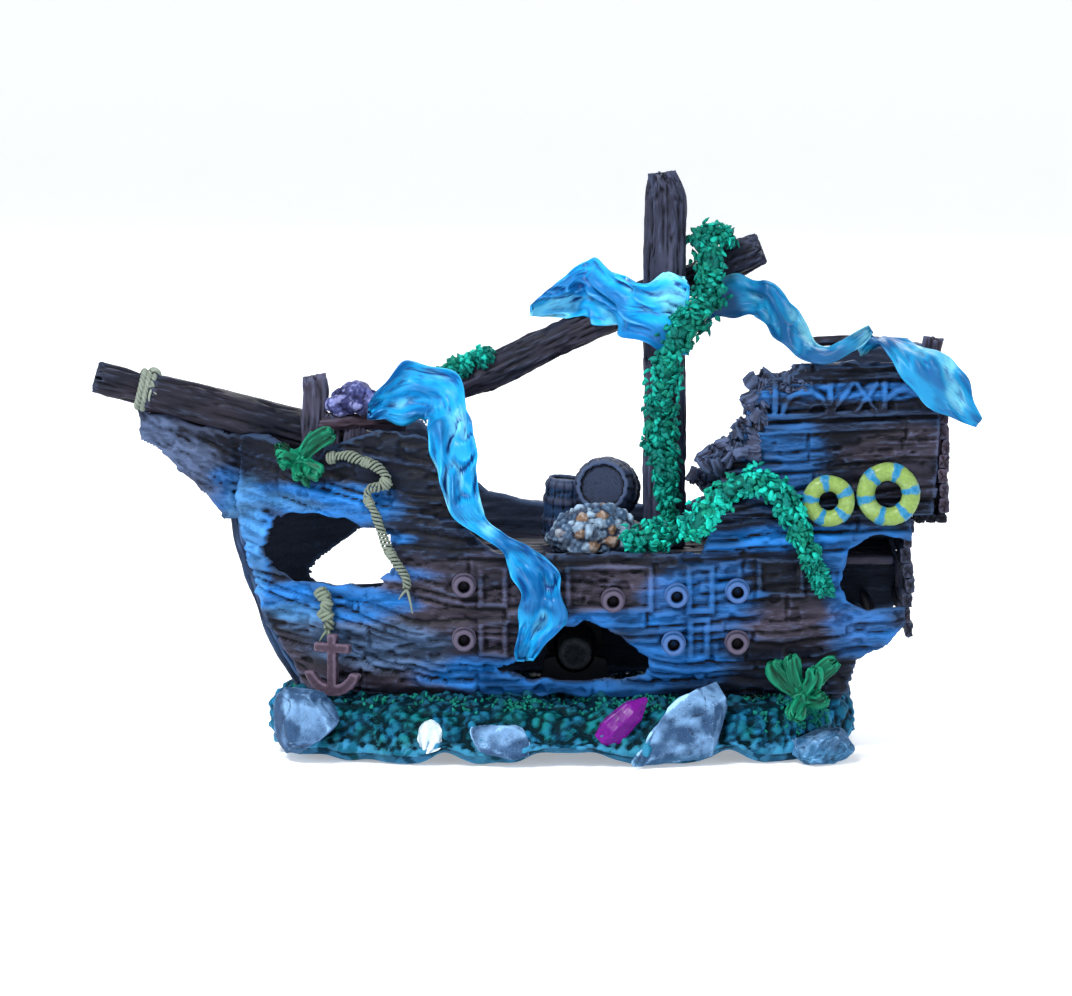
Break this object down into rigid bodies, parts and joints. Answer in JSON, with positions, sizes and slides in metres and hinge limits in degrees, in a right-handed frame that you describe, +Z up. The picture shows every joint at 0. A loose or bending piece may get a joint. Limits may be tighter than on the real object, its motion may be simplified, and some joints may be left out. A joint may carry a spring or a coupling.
{
  "type": "bubbling ornament",
  "caption": "Sunken sailing ship aquarium ornament of painted cast resin, with a hollow broken hull and a pull-out air-stone bubbler in its side.",
  "frame": {"origin": "middle of the base's flat underside", "axes": "+X towards the stern, +Y towards starboard (the side the bubbler pulls out of), +Z up; the bow is at -X and the port side, seen in the picture, at -Y"},
  "size_m": [0.2927, 0.0951, 0.1915],
  "materials": {
    "hull_paint": "dark navy resin, brown and bright blue airbrushed planks",
    "timber": "dark mauve-brown wood grain, matt",
    "deck": "near-black planks, matt",
    "sail": "azure paint with pale folds, satin",
    "vine": "emerald leaf clusters, matt",
    "leaf": "bright green leaves, satin",
    "rope": "pale olive rope, matt",
    "iron": "rusty mauve-brown, matt",
    "ring": "yellow-green with blue bands, satin",
    "gravel": "dark teal gravel with moss, matt",
    "rock": "blue-grey stone with pale drybrush",
    "shell": "white with a blue wash",
    "crystal": "glossy magenta facets",
    "coral": "pale blue-grey coral with orange tips",
    "purple": "purple coral, satin",
    "air_stone": "porous sintered grit",
    "air_plastic": "translucent white plastic"
  },
  "bodies": {
    "ship": {"aftcastle_port": "hull_paint", "aftcastle_starboard": "hull_paint", "anchor": "iron", "anchor_rope": "rope", "barrel_large": "timber", "barrel_small": "timber", "base_casting": "gravel", "beakhead": "timber", "bow_bitts": "timber", "bow_rope": "rope", "bowsprit": "timber", "bowsprit_lashing": "rope", "cannon_port_1": "iron", "cannon_port_2": "iron", "cannon_port_3": "iron", "cannon_port_4": "iron", "cannon_port_5": "iron", "cannon_port_6": "iron", "cannon_port_7": "iron", "cannon_starboard_1": "iron", "cannon_starboard_2": "iron", "cannon_starboard_3": "iron", "castle_bulkhead": "timber", "deck_coral": "coral", "fore_deck": "deck", "forecastle_bulkhead": "timber", "gallery_floor": "deck", "hull_port": "hull_paint", "hull_starboard": "hull_paint", "inlet_collar": "iron", "life_ring_large": "ring", "life_ring_small": "ring", "main_deck": "deck", "mast": "timber", "pink_crystal": "crystal", "plant_bow": "leaf", "plant_stern": "leaf", "poop_deck": "deck", "purple_coral": "purple", "rock_bow": "rock", "rock_small": "rock", "rock_stern": "rock", "rock_wedge": "rock", "sail_aft": "sail", "sail_fore": "sail", "sail_mid": "sail", "sail_stern": "sail", "stem_post": "timber", "stern_gallery": "timber", "stone_cradle": "iron", "transom": "timber", "vine_deck": "vine", "vine_gunwale": "vine", "vine_mast": "vine", "vine_yard": "vine", "white_shell": "shell", "yard": "timber"},
    "bubbler": {"air_stone": "air_stone", "air_nipple": "air_plastic"}
  },
  "joints": [
    {"name": "bubbler_slide", "type": "slide", "parent": "ship", "child": "bubbler", "axis": [0, 1, 0], "range_m": [0, 0.06]}
  ]
}
